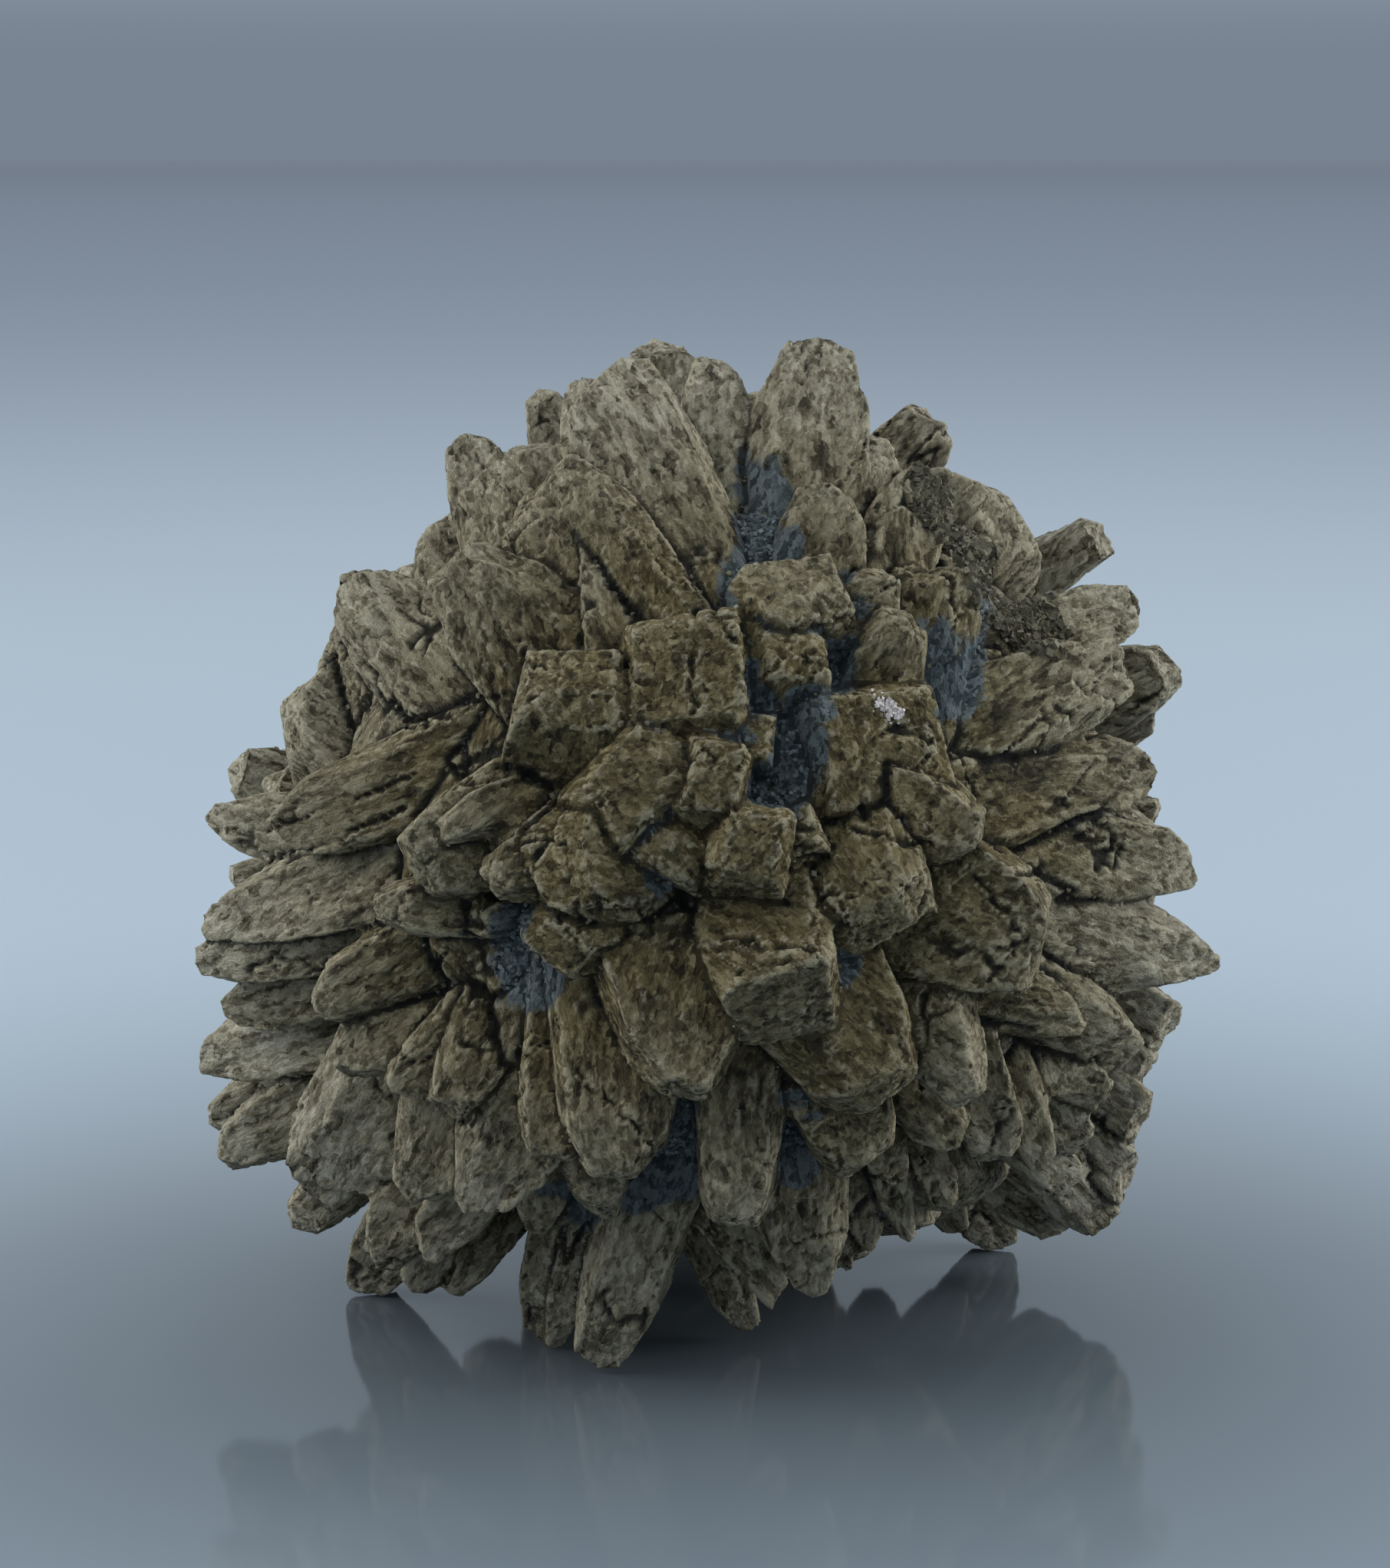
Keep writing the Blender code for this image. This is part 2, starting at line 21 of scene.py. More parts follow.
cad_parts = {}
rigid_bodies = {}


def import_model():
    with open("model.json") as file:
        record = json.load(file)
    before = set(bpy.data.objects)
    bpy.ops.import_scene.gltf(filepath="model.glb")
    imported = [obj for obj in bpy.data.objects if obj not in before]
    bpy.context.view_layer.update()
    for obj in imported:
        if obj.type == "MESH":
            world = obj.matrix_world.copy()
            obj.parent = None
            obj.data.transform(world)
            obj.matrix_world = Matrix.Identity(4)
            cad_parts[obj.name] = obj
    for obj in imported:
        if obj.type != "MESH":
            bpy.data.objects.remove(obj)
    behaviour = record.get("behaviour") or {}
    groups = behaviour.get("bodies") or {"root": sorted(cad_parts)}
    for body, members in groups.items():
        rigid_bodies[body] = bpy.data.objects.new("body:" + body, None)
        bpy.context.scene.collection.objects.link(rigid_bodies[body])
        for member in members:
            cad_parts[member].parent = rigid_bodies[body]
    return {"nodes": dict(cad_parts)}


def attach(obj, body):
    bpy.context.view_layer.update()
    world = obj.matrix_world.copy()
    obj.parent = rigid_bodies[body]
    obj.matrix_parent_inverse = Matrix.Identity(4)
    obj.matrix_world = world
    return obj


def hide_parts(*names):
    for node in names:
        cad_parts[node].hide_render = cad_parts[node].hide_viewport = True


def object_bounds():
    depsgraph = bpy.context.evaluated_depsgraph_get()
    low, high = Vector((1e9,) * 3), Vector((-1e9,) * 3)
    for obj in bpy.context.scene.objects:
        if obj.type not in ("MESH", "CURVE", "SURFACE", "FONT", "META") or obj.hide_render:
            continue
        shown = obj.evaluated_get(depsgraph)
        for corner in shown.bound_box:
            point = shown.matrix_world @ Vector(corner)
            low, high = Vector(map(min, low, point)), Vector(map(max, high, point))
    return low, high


for leftover in list(bpy.data.objects):
    bpy.data.objects.remove(leftover)
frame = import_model()
solid = frame["nodes"]["crystal_ball"]
cad_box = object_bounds()
MM = 0.001
MIDDLE = Vector((0.54, -1.41, 53.9)) * MM
lowest, highest = ([round(c / MM, 1) for c in corner] for corner in cad_box)
print("the solid, from", lowest, "to", highest, "mm")

# %% [markdown]
# ## Telling the crystals apart
#
# Stone needs to know which crystal a point belongs to: each one has its own tint, and its streaks run
# along its own length. The solid holds no names for them, but two crystals that grew into each other
# always meet in a hollow edge, and the faces of one crystal meet in ridges. So a walk over the faces that
# never crosses a hollow edge finds one crystal at a time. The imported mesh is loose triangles, so a copy
# of it is merged by distance first.

# %% A merged copy of the solid
def only(obj):
    """Selects one object alone and makes it the active one."""
    bpy.ops.object.select_all(action="DESELECT")
    obj.select_set(True)
    bpy.context.view_layer.objects.active = obj


def copy_of_solid(name):
    """A new object with the solid's mesh, its loose triangles merged."""
    piece = bpy.data.objects.new(name, solid.data.copy())
    bpy.context.scene.collection.objects.link(piece)
    piece.data.name = name
    piece.data.materials.clear()
    only(piece)
    bpy.ops.object.mode_set(mode="EDIT")
    bpy.ops.mesh.select_all(action="SELECT")
    bpy.ops.mesh.remove_doubles(threshold=1e-6)
    bpy.ops.mesh.select_all(action="DESELECT")
    bpy.ops.object.mode_set(mode="OBJECT")
    return piece


skin = copy_of_solid("crystals")
print("merged solid:", len(skin.data.vertices), "points,", len(skin.data.polygons), "faces")


# %% The crystal of each face, and the hollow edges between crystals
def is_hollow(edge, face, beyond):
    """True if the far face rises over the plane of the near one."""
    corner = next(vert for vert in beyond.verts if vert not in edge.verts)
    return (corner.co - edge.verts[0].co).dot(face.normal) > 2e-6


def walk_over_crystals(mesh):
    """The number of each face's crystal, and both ends of every hollow edge."""
    grid = bmesh.new()
    grid.from_mesh(mesh)
    grid.faces.ensure_lookup_table()
    crystal = np.full(len(grid.faces), -1)
    hollow = {}
    count = 0
    for start in grid.faces:
        if crystal[start.index] >= 0:
            continue
        crystal[start.index] = count
        waiting = [start]
        while waiting:
            face = waiting.pop()
            for edge in face.edges:
                beyond = next(other for other in edge.link_faces if other is not face)
                if is_hollow(edge, face, beyond):
                    hollow[edge.index] = (edge.verts[0].co.copy(), edge.verts[1].co.copy())
                elif crystal[beyond.index] < 0:
                    crystal[beyond.index] = count
                    waiting.append(beyond)
        count += 1
    grid.free()
    return crystal, list(hollow.values()), count


face_crystal, hollow_edges, crystal_count = walk_over_crystals(skin.data)
print(crystal_count, "faceted forms,", len(hollow_edges), "hollow edges")


# %% [markdown]
# ## The frame of each crystal
#
# For each form, three things are measured: how far it reaches from the ball's middle, the direction it
# grew in, and a random number for its tint. A form that never rises over the rounded core is a bit of the
# core that shows in a cleft, and there the stone is the sugary filling. Everything is reckoned in
# millimetres with numpy arrays, because the worn skin will have hundreds of thousands of points.

# %% Length, direction and tint of each form
CORE_TOP = 49.3
corners = np.array([skin.data.vertices[i].co for face in skin.data.polygons for i in face.vertices]) / MM
corners = corners.reshape(-1, 3, 3) - np.array(MIDDLE) / MM
face_area = np.linalg.norm(np.cross(corners[:, 1] - corners[:, 0], corners[:, 2] - corners[:, 0]), axis=1) / 2
dice = np.random.default_rng(7)
crystal_tint = dice.random(crystal_count)
crystal_shift = dice.uniform(-300.0, 300.0, (crystal_count, 3))
crystal_frame = np.zeros((crystal_count, 3, 3))
crystal_tip = np.zeros((crystal_count, 3))
is_filling = np.zeros(crystal_count, bool)
for number in range(crystal_count):
    points = corners[face_crystal == number].reshape(-1, 3)
    reach = np.linalg.norm(points, axis=1)
    is_filling[number] = reach.max() < CORE_TOP
    tip = points[reach > reach.max() - 1.0].mean(0)
    foot = points[reach < reach.min() + 0.3 * np.ptp(reach) + 0.01].mean(0)
    along = tip - foot if np.linalg.norm(tip - foot) > 5.0 else tip
    along = along / np.linalg.norm(along)
    across = np.cross(along, (0.31, 0.42, 0.85))
    across /= np.linalg.norm(across)
    crystal_frame[number] = (across, np.cross(along, across), along)
    crystal_tip[number] = tip
filling_area = face_area[is_filling[face_crystal]].sum()
print(int(is_filling.sum()), "forms are filling,", round(filling_area), "square mm of it shows")

# %% [markdown]
# ## A fine skin
#
# Flat facets can't wear. A voxel remesh covers the solid with an even net of small faces, about as a
# sculptor would start, and a round of smoothing turns the knife-sharp edges into worn ones. The net is
# about half a millimetre fine, which is as small as the pits and cracks that it has to hold.

# %% Remesh and first wear
NET = 0.48
WEAR_ROUNDS = 1
remesh = skin.modifiers.new("even net", "REMESH")
remesh.mode = "VOXEL"
remesh.voxel_size = NET * MM
worn = skin.modifiers.new("worn edges", "SMOOTH")
worn.factor = 0.5
worn.iterations = WEAR_ROUNDS
facets = BVHTree.FromPolygons(
    [vert.co for vert in skin.data.vertices], [tuple(face.vertices) for face in skin.data.polygons]
)
only(skin)
bpy.ops.object.modifier_apply(modifier=remesh.name)
bpy.ops.object.modifier_apply(modifier=worn.name)
print("net:", len(skin.data.vertices), "points,", len(skin.data.polygons), "faces")


# %% [markdown]
# ## What every point of the skin knows
#
# Each point looks up the nearest facet of the solid, and so learns its crystal. It also learns how far it
# is from the nearest hollow edge, which is where a dark gap opens between two crystals. A place measured
# inside the crystal's own frame lets a pattern run along that crystal and stop at its edge.

# %% Crystal, place and distance to the nearest gap
def point_array(mesh, what):
    """The points' co or normal as an array."""
    flat = np.empty(len(mesh.vertices) * 3, np.float32)
    mesh.vertices.foreach_get(what, flat)
    return flat.reshape(-1, 3).astype(float)


def gap_tree(edges, step):
    """A search tree of points along the hollow edges."""
    places = []
    for start, end in edges:
        count = max(2, int((end - start).length / step))
        places += [start.lerp(end, k / (count - 1)) for k in range(count)]
    tree = KDTree(len(places))
    for index, place in enumerate(places):
        tree.insert(place, index)
    tree.balance()
    return tree


points = point_array(skin.data, "co")
gaps = gap_tree(hollow_edges, 0.35 * MM)
nearest = np.array([facets.find_nearest(point)[2] for point in points])
point_crystal = face_crystal[nearest]
gap_distance = np.array([gaps.find(point)[2] for point in points]) / MM
place = points / MM - np.array(MIDDLE) / MM
own_place = np.einsum("nij,nj->ni", crystal_frame[point_crystal], place) + crystal_shift[point_crystal]
filling = is_filling[point_crystal].astype(float)
print("points on filling:", int(filling.sum()), "and near a gap:", int((gap_distance < 0.5).sum()))


# %% [markdown]
# ## Noise for stone
#
# Two kinds of noise shape the stone. The first is soft and hilly, for waves and steps. The second splits
# space into random cells, for pits in the cells' middles and cracks along their borders. Both are worked
# out from whole-number grid places, so every run gives the same stone.

# %% Soft noise and cells
def grid_random(cell, salt):
    """A repeatable number from 0 to 1 for each grid cell."""
    cell = cell.astype(np.int64).astype(np.uint32)
    mixed = cell[..., 0] * np.uint32(2376512323) ^ cell[..., 1] * np.uint32(3625334849)
    mixed = mixed ^ cell[..., 2] * np.uint32(3407524639) ^ np.uint32((salt * 2654435769) % 2**32)
    mixed = (mixed ^ (mixed >> np.uint32(13))) * np.uint32(1540483477)
    mixed = (mixed ^ (mixed >> np.uint32(15))) * np.uint32(2246822519)
    return (mixed ^ (mixed >> np.uint32(16))) / 2.0**32


def soft_noise(where, size, salt):
    """Smooth hills from -1 to 1, about `size` wide; size may be one number or one for each axis."""
    where = where / size
    cell = np.floor(where)
    part = where - cell
    part = part * part * (3.0 - 2.0 * part)
    total = np.zeros(len(where))
    for corner in np.ndindex(2, 2, 2):
        weight = np.prod(np.where(corner, part, 1.0 - part), axis=1)
        total += weight * grid_random(cell + corner, salt)
    return total * 2.0 - 1.0


def cell_noise(where, size, salt):
    """Distance to the nearest cell's middle, how far off its border is, and that cell's random number."""
    where = where / size
    cell = np.floor(where)
    first = np.full(len(where), 9.0)
    second = np.full(len(where), 9.0)
    pick = np.zeros(len(where))
    for step in np.ndindex(3, 3, 3):
        near = cell + np.array(step) - 1.0
        middle = near + np.stack([grid_random(near, salt + axis) for axis in range(3)], axis=1)
        far = np.linalg.norm(middle - where, axis=1)
        closer = far < first
        second = np.where(closer, first, np.minimum(second, far))
        pick = np.where(closer, grid_random(near, salt + 5), pick)
        first = np.where(closer, far, first)
    return first, second - first, pick


def ramp(value, low, high):
    """0 under low, 1 over high, and smooth between."""
    share = np.clip((value - low) / (high - low), 0.0, 1.0)
    return share * share * (3.0 - 2.0 * share)


# %% [markdown]
# ## Weathering the skin
#
# The weathering is a sum of small moves along each point's normal, in the order that stone gets them.
# Weak waves bend the facets. Thin flakes with crisp rims split off along each crystal, and narrow grooves
# run between them. Then come pits, cracks and a fine roughness. At a hollow edge the skin sinks, which
# opens the dark gap that parts two crystals. Each move keeps its own size in millimetres, so it can be
# set against the real stone.

# %% Where the picture is taken from
EYE_DISTANCE = 0.420
EYE_RISE = math.radians(10.0)
looking = Vector((0.0, math.cos(EYE_RISE), -math.sin(EYE_RISE)))
up = Vector((0.0, math.sin(EYE_RISE), math.cos(EYE_RISE)))

# %% Tips worn to blunt wedges
TIP_PLANES = 4
TIP_TILT = (0.42, 0.78)
MOST_WORN = 2.6
tip_dice = np.random.default_rng(17)
first_turn = tip_dice.uniform(0.0, 2.0 * math.pi, (crystal_count, 1))
plane_turn = first_turn + np.arange(TIP_PLANES) * 2.0 * math.pi / TIP_PLANES
plane_tilt = tip_dice.uniform(*TIP_TILT, (crystal_count, TIP_PLANES))
tip_reach = np.linalg.norm(crystal_tip, axis=1)
facing = -(crystal_tip @ np.array(looking)) / tip_reach
wedge = (tip_reach > 52.0) * (1.0 - 0.85 * ramp(facing, 0.62, 0.80))
axes = crystal_frame[point_crystal]
from_tip = np.einsum("nij,nj->ni", axes, place - crystal_tip[point_crystal])
worn_off = np.zeros(len(place))
for turn, tilt in zip(plane_turn[point_crystal].T, plane_tilt[point_crystal].T):
    outward = from_tip[:, 0] * np.cos(turn) + from_tip[:, 1] * np.sin(turn)
    worn_off = np.maximum(worn_off, from_tip[:, 2] + 0.25 + outward * tilt)
worn_off = MOST_WORN * np.tanh(np.clip(worn_off, 0.0, None) / MOST_WORN) * wedge[point_crystal]
worn_off *= ramp(gap_distance, 0.4, 3.4)
place = place - axes[:, 2] * worn_off[:, None]
print("tips lose up to", round(worn_off.max(), 2), "mm, on", int((worn_off > 0.2).sum()), "points")

# %% Waves that bend the facets
WAVE = 0.24
wide_waves = np.stack([soft_noise(place, 8.5, 11 + axis) for axis in range(3)], 1)
short_waves = np.stack([soft_noise(place, 3.6, 21 + axis) for axis in range(3)], 1)
place = place + WAVE * (wide_waves + 0.6 * short_waves) * (1.0 - 0.6 * filling[:, None])


# %% Flakes and grooves along each crystal
def flakes(size, length, salt):
    """Thin plates along the crystal: each one's height from -0.5 to 0.5, and how far off its rim is."""
    bend = np.stack([soft_noise(own_place, size * 0.9, salt + 10 + axis) for axis in range(3)], 1)
    _, rim, pick = cell_noise((own_place + 0.35 * size * bend) / (1.0, 1.0, length), size, salt)
    return pick - 0.5, rim


GROOVE_DEPTH = 0.26
RIM_DEPTH = 0.12
broad_flake, broad_rim = flakes(2.9, 3.4, 41)
small_flake, _ = flakes(1.3, 2.8, 141)
flaky = ramp(soft_noise(own_place, 9.0, 40), -0.5, 0.5)
plates = (0.09 + 0.20 * flaky) * broad_flake + (0.03 + 0.06 * flaky) * small_flake
stretched = own_place / (1.0, 1.0, 5.5)
grooves = -GROOVE_DEPTH * ramp(1.0 - np.abs(soft_noise(stretched, 2.4, 45)), 0.88, 1.0)
grooves -= RIM_DEPTH * ramp(0.10 - broad_rim, 0.0, 0.08)

# %% Pits and cracks
PIT_DEPTH = 0.16
PITTED_SHARE = 0.32
CRACK_DEPTH = 0.50
FINE_CRACK_DEPTH = 0.26
pit_far, _, pit_pick = cell_noise(own_place / (1.0, 1.0, 1.3), 1.7, 51)
pits = -PIT_DEPTH * ramp(0.36 - pit_far, 0.0, 0.20) * (pit_pick < PITTED_SHARE)
pits *= ramp(soft_noise(own_place, 5.0, 52), -0.4, 0.3)
crack_bend = own_place + 1.1 * np.stack([soft_noise(own_place, 2.6, 61 + axis) for axis in range(3)], 1)
_, crack_edge, _ = cell_noise(crack_bend / (1.0, 1.0, 1.6), 7.5, 65)
cracks = -CRACK_DEPTH * ramp(0.042 - crack_edge, 0.0, 0.035)
cracks *= ramp(soft_noise(own_place, 6.0, 66), 0.05, 0.30)
_, fine_edge, _ = cell_noise(crack_bend / (1.0, 1.0, 1.8), 3.2, 67)
fine_share = ramp(soft_noise(own_place, 4.0, 68), 0.10, 0.40)
cracks -= FINE_CRACK_DEPTH * ramp(0.075 - fine_edge, 0.0, 0.06) * fine_share


# %% [markdown]
# ## The marks that make it this ball
#
# Some marks are not left to chance, because they belong to certain crystals of this very ball: the
# straight crack down the square crystal, the split across the long flat one, the clefts that hold
# blue-grey sugar, a crust of white grains, and a bank of loose sugar at the upper right. They are placed
# by how far right and how far up they lie from the ball's middle, in millimetres, as the camera sees
# them. From that the script finds the points of the skin that carry them, so they sit on the stone from
# every side. On the far side a soft noise says where the sugar lies.

# %% The marks' places
CRACK_LINES = [
    ((-1.2, 29.0), (-1.8, 17.0)),
    ((1.5, -9.5), (13.5, -10.5)),
    ((4.0, -12.5), (12.5, -11.5)),
    ((25.5, -15.5), (24.5, -27.5)),
    ((42.0, 3.5), (47.0, 4.5)),
    ((-51.0, 3.0), (-34.0, 9.5)),
    ((-49.0, -0.5), (-36.0, 5.0)),
    ((30.5, -2.5), (33.5, -6.0)),
    ((33.5, -6.0), (37.5, -9.5)),
    ((-16.5, -23.0), (-10.0, -30.0)),
    ((-10.0, -30.0), (-4.5, -37.5)),
    ((14.0, 3.5), (26.0, 1.5)),
    ((-44.0, 24.0), (-33.0, 15.0)),
]
CLEFT_LINES = [
    ((6.2, 46.3), (8.0, 36.4)),
    ((8.0, 36.4), (4.9, 31.4)),
    ((4.9, 31.4), (4.1, 16.4)),
    ((4.1, 16.4), (-3.1, 14.6)),
    ((16.2, 29.6), (9.9, 11.4)),
    ((9.9, 11.4), (7.4, 6.4)),
    ((13.7, -8.5), (13.0, -18.5)),
    ((-21.9, -8.5), (-20.6, -14.7)),
    ((-3.1, -31.0), (-3.8, -37.2)),
    ((-3.8, -37.2), (-18.8, -42.2)),
    ((9.3, -31.0), (10.5, -36.0)),
    ((28.7, 27.0), (28.5, 19.5)),
    ((-8.8, 11.4), (-6.9, -1.0)),
]


def as_seen(places):
    """How far right of and over the middle each place shows, and how much nearer it is, in mm."""
    toward = -places @ np.array(looking)
    scale = EYE_DISTANCE / MM / (EYE_DISTANCE / MM - toward)
    return places[:, 0] * scale, (places @ np.array(up)) * scale, toward


def line_distance(right, rise, start, end):
    """Distance of each place from a straight line as seen, in mm."""
    start, end = np.array(start), np.array(end)
    step = end - start
    share = np.clip(((right - start[0]) * step[0] + (rise - start[1]) * step[1]) / (step @ step), 0.0, 1.0)
    return np.hypot(right - start[0] - share * step[0], rise - start[1] - share * step[1])


right, rise, toward = as_seen(place)
wobble = 0.9 * soft_noise(place, 2.2, 69) + 0.35 * soft_noise(place, 0.9, 70)
near_line = np.full(len(place), 9.0)
for start, end in CRACK_LINES:
    near_line = np.minimum(near_line, line_distance(right + wobble, rise + wobble, start, end))
OWN_CRACK_DEPTH = 0.62
in_front = ramp(toward, 5.0, 15.0)
own_cracks = -OWN_CRACK_DEPTH * ramp(0.40 - near_line, 0.0, 0.36) * in_front
own_cracks *= ramp(soft_noise(place, 3.0, 76), -0.7, -0.2)
cracks = np.minimum(cracks, own_cracks)
near_cleft = np.full(len(place), 30.0)
for start, end in CLEFT_LINES:
    near_cleft = np.minimum(near_cleft, line_distance(right + wobble, rise + wobble, start, end))
sugar_here = in_front * (1.0 - ramp(near_cleft, 2.2, 5.5))
sugar_here += (1.0 - in_front) * ramp(soft_noise(place, 13.0, 77), 0.05, 0.45)
filling = filling * sugar_here
print("points on the ball's own cracks:", int((own_cracks < -0.4).sum()))

# %% The gaps, the filling and the fine roughness
GAP_DEPTH = 0.80
gap = -GAP_DEPTH * np.exp(-((gap_distance / 0.45) ** 2)) * (0.8 + 0.4 * soft_noise(place, 4.0, 71))
roughness = 0.03 * soft_noise(own_place, 1.05, 72) + 0.03 * soft_noise(own_place, 0.6, 73)
grain_far, _, _ = cell_noise(place, 0.95, 74)
sugar = 0.42 * (0.5 - grain_far) + 0.35 * soft_noise(place, 3.0, 75)
relief = (1.0 - filling) * (grooves + plates + pits + cracks + roughness) + filling * sugar


def move_points(mesh, places):
    """Puts the mesh's points at these places, which are in mm from the ball's middle."""
    mesh.vertices.foreach_set("co", (places * MM + np.array(MIDDLE)).astype(np.float32).ravel())
    mesh.update()


move_points(skin.data, place)
normals = point_array(skin.data, "normal")
worn_place = place + normals * (relief - 0.10 + gap * (1.0 - 0.45 * filling))[:, None]
FLOOR_LEVEL = -MIDDLE.z / MM
worn_place[:, 2] = np.maximum(worn_place[:, 2], FLOOR_LEVEL + 0.02)
move_points(skin.data, worn_place)
print("weathering moves points by", round(relief.min(), 2), "to", round(relief.max(), 2), "mm")


# %% [markdown]
# ## What the stone's finish has to know
#
# The finish reads five things from the skin: the place inside the crystal's own frame, the crystal's
# tint with painted light in it, where the filling is, how hollow a spot is, and how worn. They are kept
# on the mesh as named attributes, so the colours follow the very same grooves, pits and cracks that the
# shape has. The hollow spots get a painted shade, near black in the gaps between crystals. The tint
# paints light and shade by where a point faces as the camera sees it: crystals round the rim are
# painted paler, a painted rim light, and those that face the front are painted browner and darker, a
# painted shade that is deepest at the front middle. Each crystal also has its own random tone.

# %% Named attributes on the skin
def keep(mesh, name, kind, values):
    """Stores one value or one vector for each point."""
    layer = mesh.attributes.new(name, kind, "POINT")
    what = "vector" if kind == "FLOAT_VECTOR" else "value"
    layer.data.foreach_set(what, np.asarray(values, np.float32).ravel())


def rim_height(mesh, places, reach):
    """How far each point stands over the mean of its neighbours along its normal, in mm."""
    edges = np.empty(len(mesh.edges) * 2, np.int32)
    mesh.edges.foreach_get("vertices", edges)
    edges = edges.reshape(-1, 2)
    mean = places
    for _ in range(reach):
        total = np.zeros_like(places)
        count = np.zeros(len(places))
        for near, far in ((0, 1), (1, 0)):
            np.add.at(total, edges[:, near], mean[edges[:, far]])
            np.add.at(count, edges[:, near], 1.0)
        mean = total / count[:, None]
    return np.sum((places - mean) * point_array(mesh, "normal"), axis=1)


edge_wear = rim_height(skin.data, worn_place, 3)
over_core = np.linalg.norm(place / (0.985, 1.0, 0.965), axis=1) - 48.4
clefts = np.exp(-(((right - 6.0) / 24.0) ** 2 + ((rise - 4.0) / 32.0) ** 2)) * in_front
dust_rise = 0.1 + 1.2 * clefts + 2.6 * sugar_here * in_front
dust_edge = 1.3 * soft_noise(place, 3.4, 91) + 0.7 * soft_noise(place, 1.2, 92)
dust = ramp(dust_rise + dust_edge - over_core, 0.0, 2.2)
near_gap_dust = np.exp(-gap_distance / 0.9) * ramp(8.0 - over_core, 0.0, 4.0)
near_gap_dust *= 0.75 + 0.5 * soft_noise(place, 2.0, 94)
dust = np.maximum(dust * (0.15 + 0.85 * sugar_here), near_gap_dust * (0.45 + 0.55 * sugar_here))
dust = np.maximum(dust, filling)
sugar_bank = np.exp(-((line_distance(right, rise, (28.0, 42.0), (37.5, 27.5)) / 4.6) ** 2)) * in_front
dust = np.maximum(dust, 0.75 * ramp(sugar_bank + 0.22 * soft_noise(place, 2.5, 93), 0.40, 0.75))
# Painted light in the tint: points round the rim, as the camera sees them, are painted paler, a painted rim
# light, and the front middle is painted darker, a painted shade. On top of that each crystal has its own
# random tone, and points grow paler the further they stand out over the core.
direction = place / np.linalg.norm(place, axis=1, keepdims=True)
frontward = -direction @ np.array(looking)
side_on = 0.55 * np.sqrt(1.0 - frontward**2) + 0.50 * (1.0 - np.abs(frontward))
tint_and_painted_light = 0.34 * crystal_tint[point_crystal] + side_on - 0.34 + 0.035 * (over_core - 6.0)
tint_and_painted_light -= 0.24 * in_front * np.exp(-(((right - 8.0) / 22.0) ** 2) - ((rise - 12.0) / 22.0) ** 2)
keep(skin.data, "own_place", "FLOAT_VECTOR", own_place)
keep(skin.data, "tint_and_painted_light", "FLOAT", np.clip(tint_and_painted_light, 0.0, 1.0))
keep(skin.data, "filling", "FLOAT", dust)
# Painted shade: near the gaps between crystals, in cracks, pits and grooves, and low down near the core away
# from the sugar, this value paints the stone near black.
hollow = 0.62 * np.exp(-((gap_distance / 0.42) ** 2)) - 1.1 * cracks - 0.6 * pits - 0.8 * grooves
hollow += 0.22 * ramp(3.0 - over_core, 0.0, 3.0) * (1.0 - sugar_here)
keep(skin.data, "hollow", "FLOAT", hollow)
keep(skin.data, "wear", "FLOAT", edge_wear)
print("worn edges stand up to", round(float(np.percentile(edge_wear, 99)), 2), "mm over their surroundings")

# %% [markdown]
# ## Splitting the skin into five parts
#
# One mesh of this fineness would be too heavy to hand on, so the ball is kept as five parts, like the
# segments of an orange. The split runs along the gaps between crystals, where no one sees it. Each part
# is closed by faces that run in to the ball's middle.

# %% Five closed parts
PARTS = 5


def triangles_of(mesh):
    """The mesh's triangles as an array of point numbers."""
    mesh.calc_loop_triangles()
    flat = np.empty(len(mesh.loop_triangles) * 3, np.int32)
    mesh.loop_triangles.foreach_get("vertices", flat)
    return flat.reshape(-1, 3)


def part_of_each_crystal(triangles, crystal_of_triangle):
    """Deals the crystals out by their direction round the upright axis, so that each part gets its share."""
    load = np.bincount(crystal_of_triangle, minlength=crystal_count)
    sums = np.zeros((crystal_count, 3))
    centres = worn_place[triangles].mean(1)
    for axis in range(3):
        sums[:, axis] = np.bincount(crystal_of_triangle, centres[:, axis], minlength=crystal_count)
    turn = np.arctan2(sums[:, 1], sums[:, 0])
    order = np.argsort(turn)
    share = np.cumsum(load[order]) / load.sum()
    part = np.zeros(crystal_count, int)
    part[order] = np.minimum((share * PARTS).astype(int), PARTS - 1)
    return part


